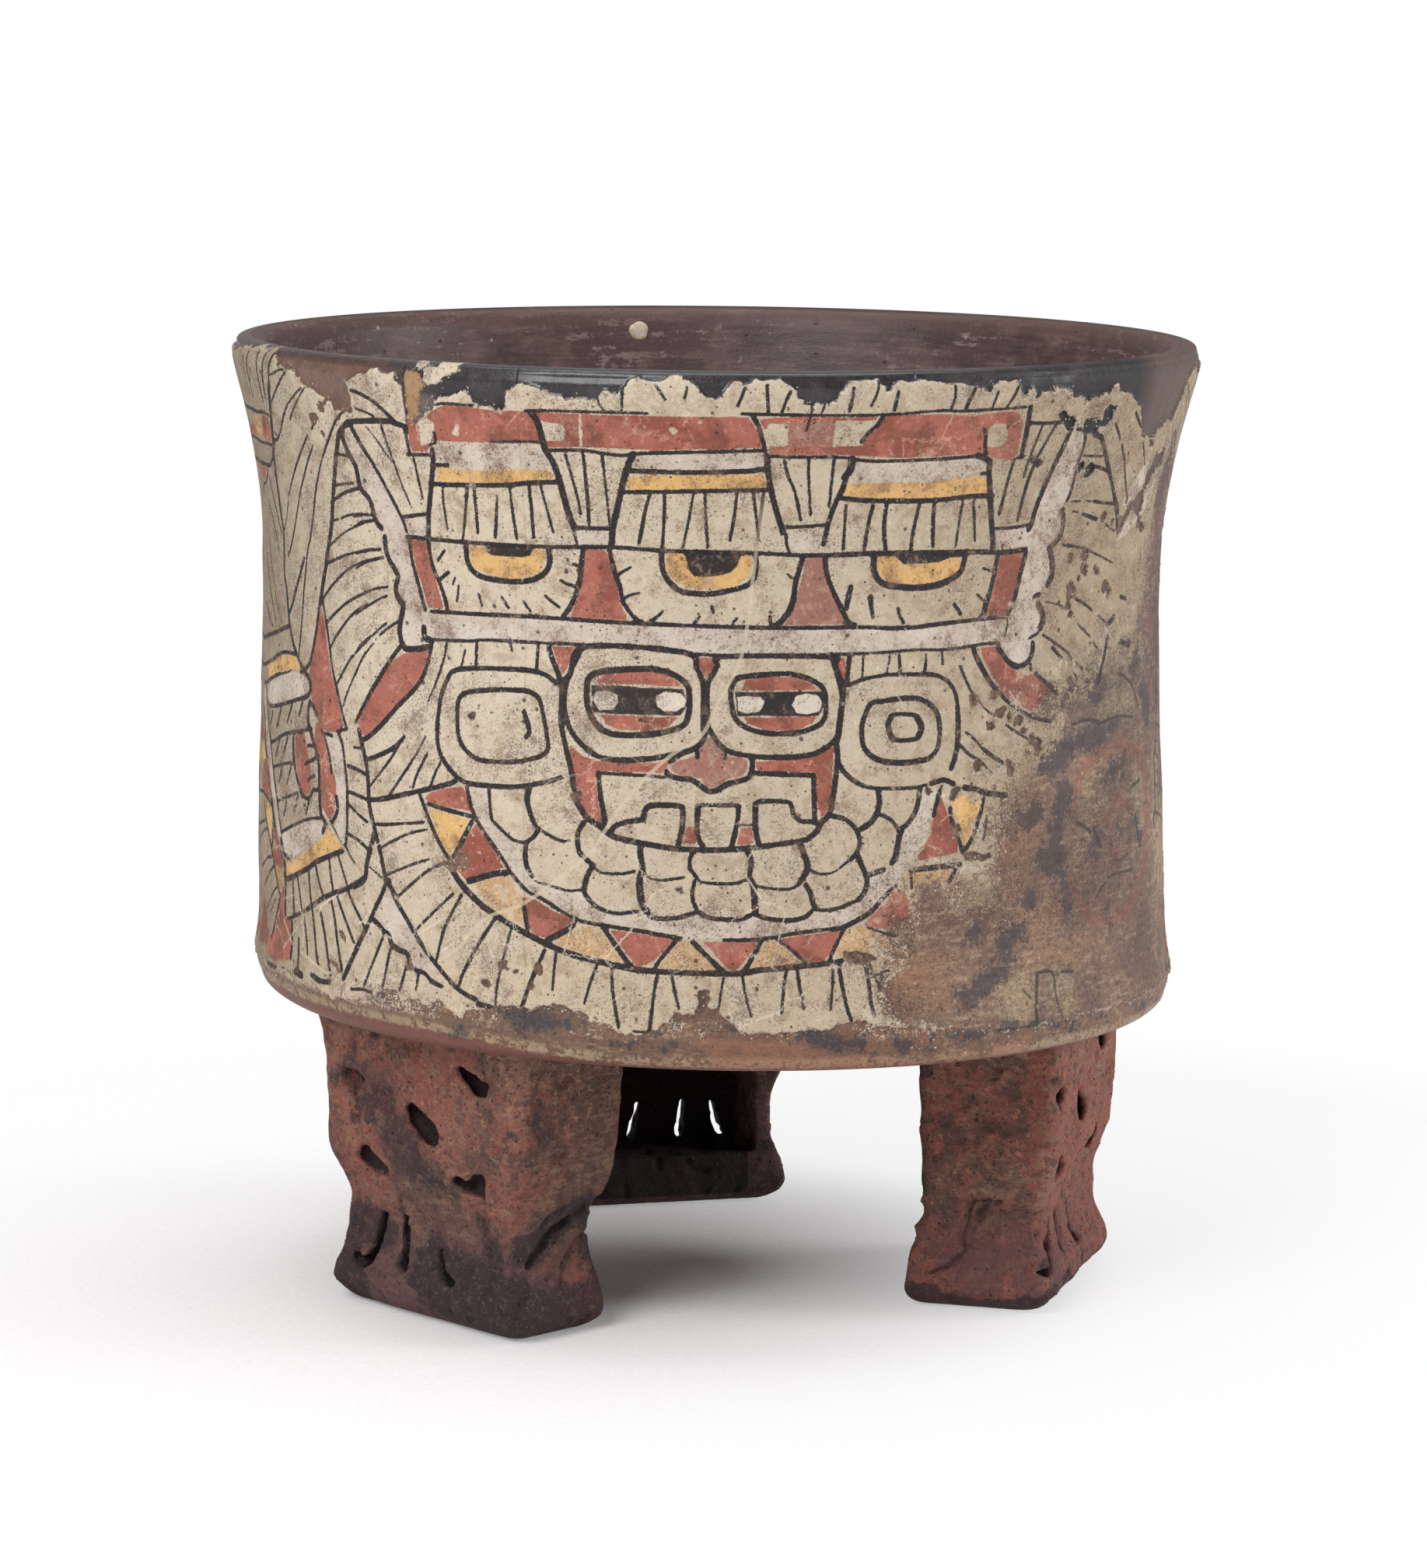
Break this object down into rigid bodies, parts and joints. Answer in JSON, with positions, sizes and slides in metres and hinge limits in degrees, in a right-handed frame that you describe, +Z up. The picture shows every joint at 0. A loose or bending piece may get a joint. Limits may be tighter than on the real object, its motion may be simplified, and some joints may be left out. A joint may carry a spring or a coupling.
{
  "type": "teotihuacan tripod vessel",
  "caption": "Flared clay cylinder vessel with a painted stucco coat, a rounded lip and hollow slab supports pierced by slots and sunk lozenges.",
  "frame": {"origin": "on the vessel's axis, at the height of the soles it stands on", "axes": "+Z up along the vessel's axis, -Y towards the painted front"},
  "size_m": [0.169, 0.169, 0.1665],
  "materials": {
    "body_clay": "burnished",
    "painted_stucco": "matt",
    "plug_clay": "matt",
    "support_clay": "matt"
  },
  "bodies": {
    "root": {"base_slab": "body_clay", "vessel_wall": "body_clay", "stucco_coat": "painted_stucco", "mend_plug": "plug_clay", "left_plaque": "support_clay", "left_sole": "support_clay", "left_cheek_a": "support_clay", "left_cheek_b": "support_clay", "right_plaque": "support_clay", "right_sole": "support_clay", "right_cheek_a": "support_clay", "right_cheek_b": "support_clay", "back_plaque": "support_clay", "back_sole": "support_clay", "back_cheek_a": "support_clay", "back_cheek_b": "support_clay"}
  },
  "joints": []
}
